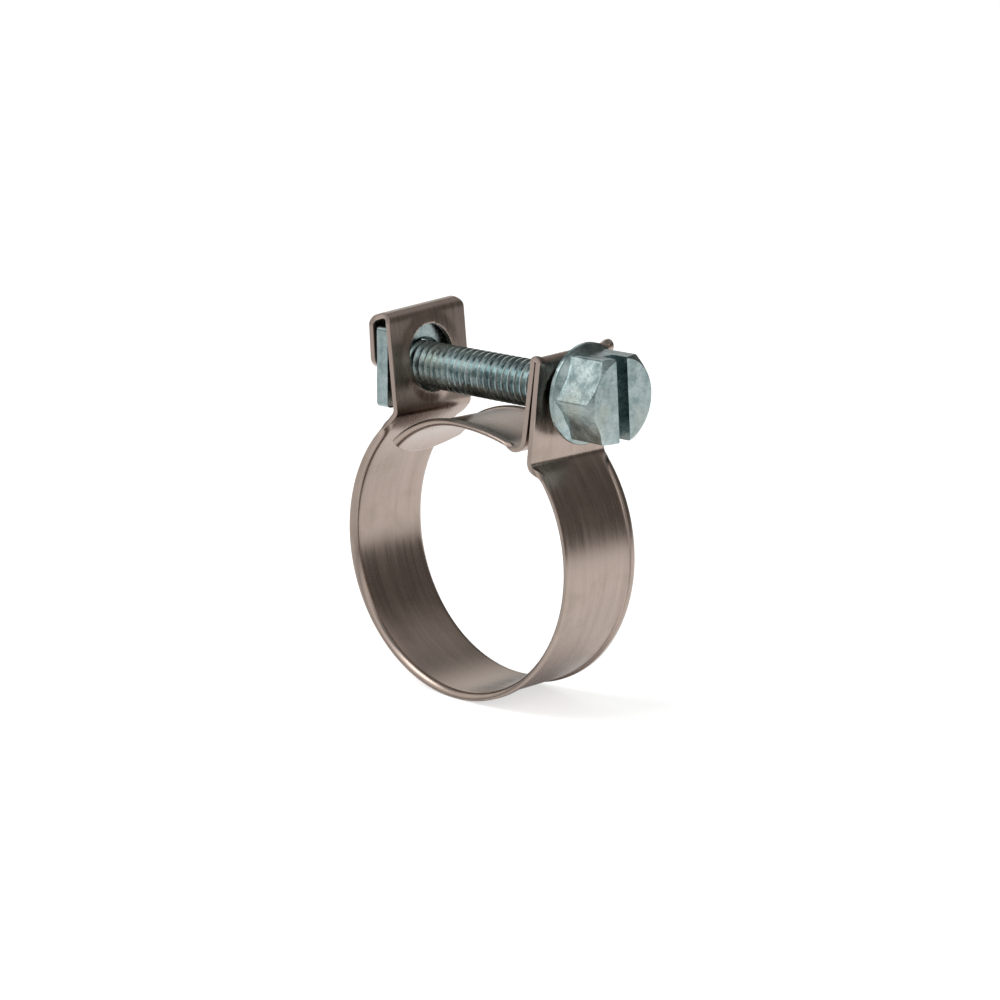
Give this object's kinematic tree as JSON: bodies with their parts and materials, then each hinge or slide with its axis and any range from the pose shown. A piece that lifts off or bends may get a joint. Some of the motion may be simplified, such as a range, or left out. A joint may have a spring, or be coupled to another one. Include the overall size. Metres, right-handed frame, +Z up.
{
  "type": "hose clamp",
  "caption": "Small one-piece band hose clamp with rolled edges, folded ears, bridging tongue, captive plate nut and flanged slotted hexagon screw.",
  "frame": {"origin": "centre of the ring, on the hose's axis", "axes": "+Y along the hose's axis, +X along the screw towards its head, +Z up from the hose to the screw"},
  "size_m": [0.0279, 0.009, 0.0325],
  "materials": {
    "band_steel": "softly brushed",
    "zinc_plate": "zinc plated"
  },
  "bodies": {
    "right_side": {"band_right": "band_steel"},
    "left_side": {"band_left": "band_steel"},
    "ear": {"left_ear": "band_steel"},
    "tongue": {"bridge_tongue": "band_steel"},
    "nut": {"plate_nut": "zinc_plate"},
    "screw": {"clamp_screw": "zinc_plate"}
  },
  "joints": [
    {"name": "screw_turn", "type": "hinge", "parent": "right_side", "child": "screw", "pos_m": [0.012, 0, 0.0146], "axis": [-1, 0, 0], "range_deg": [0, 2880.1]},
    {"name": "nut_travel", "type": "slide", "parent": "right_side", "child": "nut", "axis": [1, 0, 0], "range_m": [0, 0.0056]},
    {"name": "band_close", "type": "hinge", "parent": "right_side", "child": "left_side", "pos_m": [-0.00435, 0, -0.0114], "axis": [0, 1, 0], "range_deg": [0, 12.12]},
    {"name": "ear_lean", "type": "hinge", "parent": "left_side", "child": "ear", "pos_m": [-0.00743, 0, 0.0103], "axis": [0, -1, 0], "range_deg": [0, 5.02]},
    {"name": "tongue_swing", "type": "hinge", "parent": "right_side", "child": "tongue", "pos_m": [0.007, 0, 0.00974], "axis": [0, -1, 0], "range_deg": [0, 9.21]}
  ],
  "couplings": [
    {"joint": "screw_turn", "follows": "nut_travel", "rad_per_m": 8976},
    {"joint": "band_close", "follows": "nut_travel", "rad_per_m": 37.743},
    {"joint": "ear_lean", "follows": "nut_travel", "rad_per_m": 15.614},
    {"joint": "tongue_swing", "follows": "nut_travel", "rad_per_m": 28.673}
  ]
}
